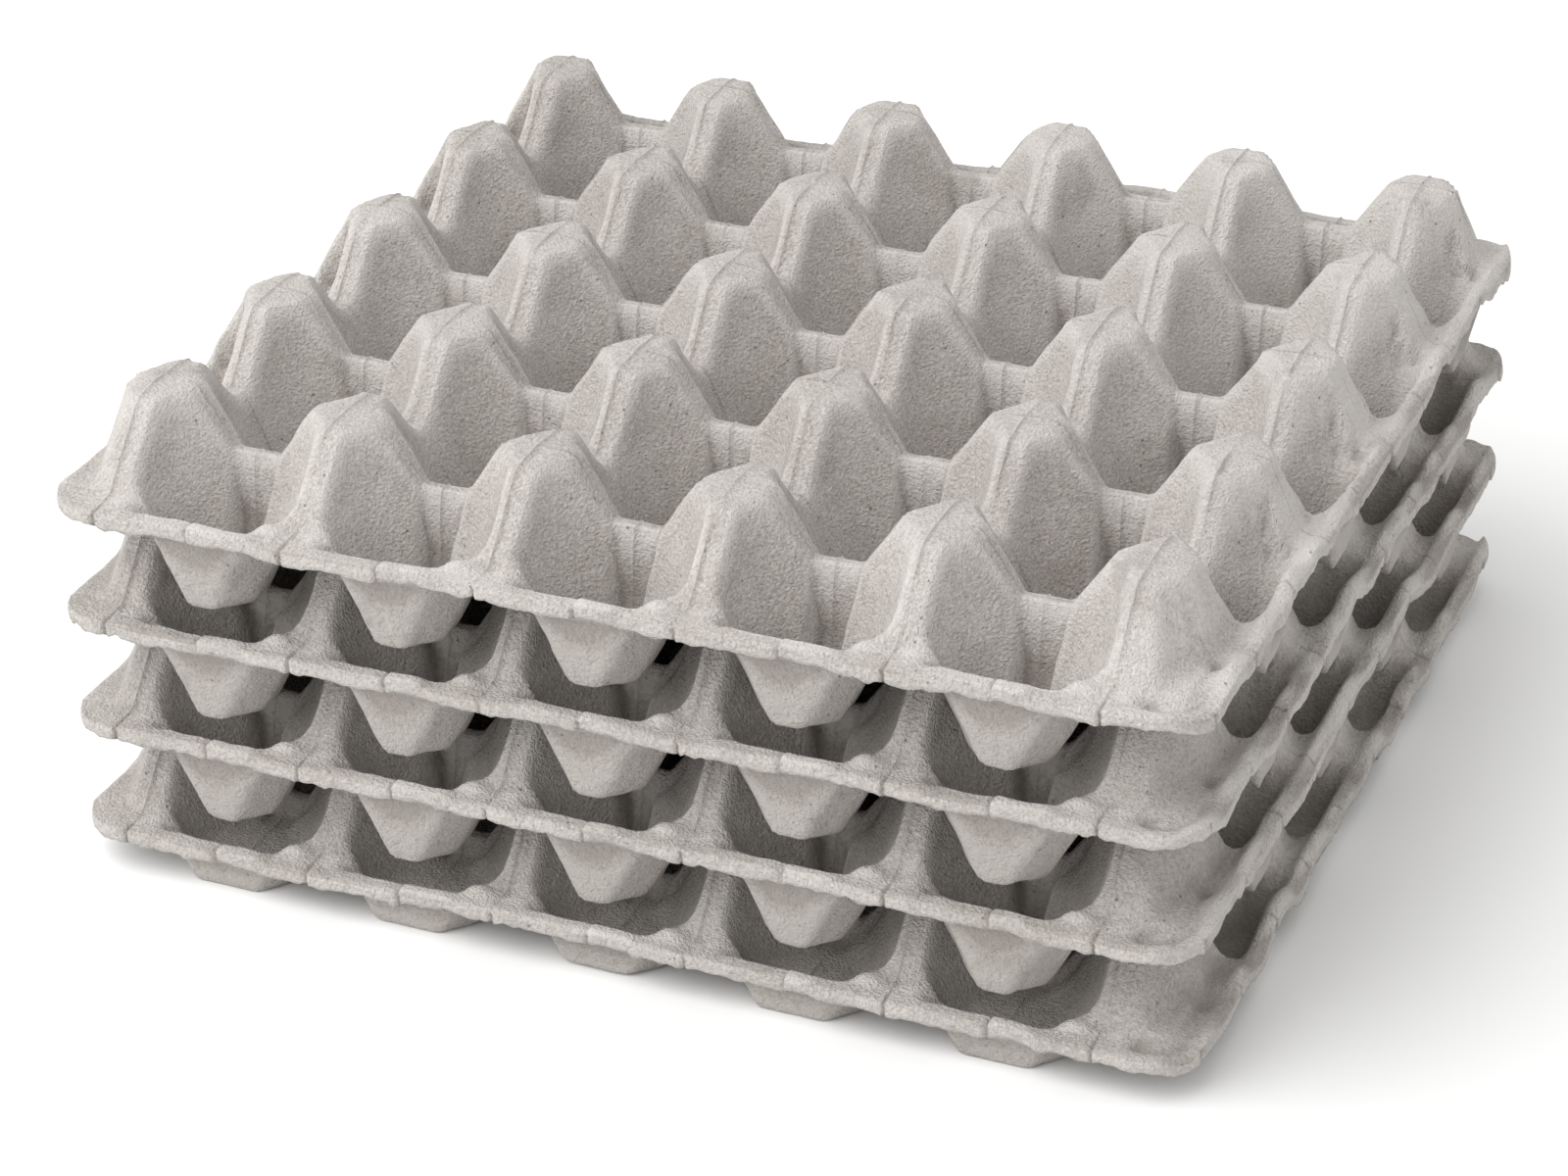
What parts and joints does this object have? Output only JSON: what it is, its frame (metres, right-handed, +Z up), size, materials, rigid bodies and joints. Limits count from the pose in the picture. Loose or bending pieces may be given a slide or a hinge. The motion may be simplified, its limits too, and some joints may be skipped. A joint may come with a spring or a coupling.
{
  "type": "stack of moulded pulp egg trays",
  "caption": "Nested stack of square moulded-pulp egg trays with hollow peaks, cups between them and a turned-down flange.",
  "frame": {"origin": "on the floor, under the middle of the stack", "axes": "+Z up, +Y from the front edge to the back, along the side with the fewer peaks, +X to the right"},
  "size_m": [0.289, 0.2714, 0.1189],
  "materials": {
    "pulp": "rough moulded paper pulp, matt, with fibres and specks"
  },
  "bodies": {
    "root": {"tray_1": "pulp", "tray_2": "pulp", "tray_3": "pulp", "tray_4": "pulp"}
  },
  "joints": []
}
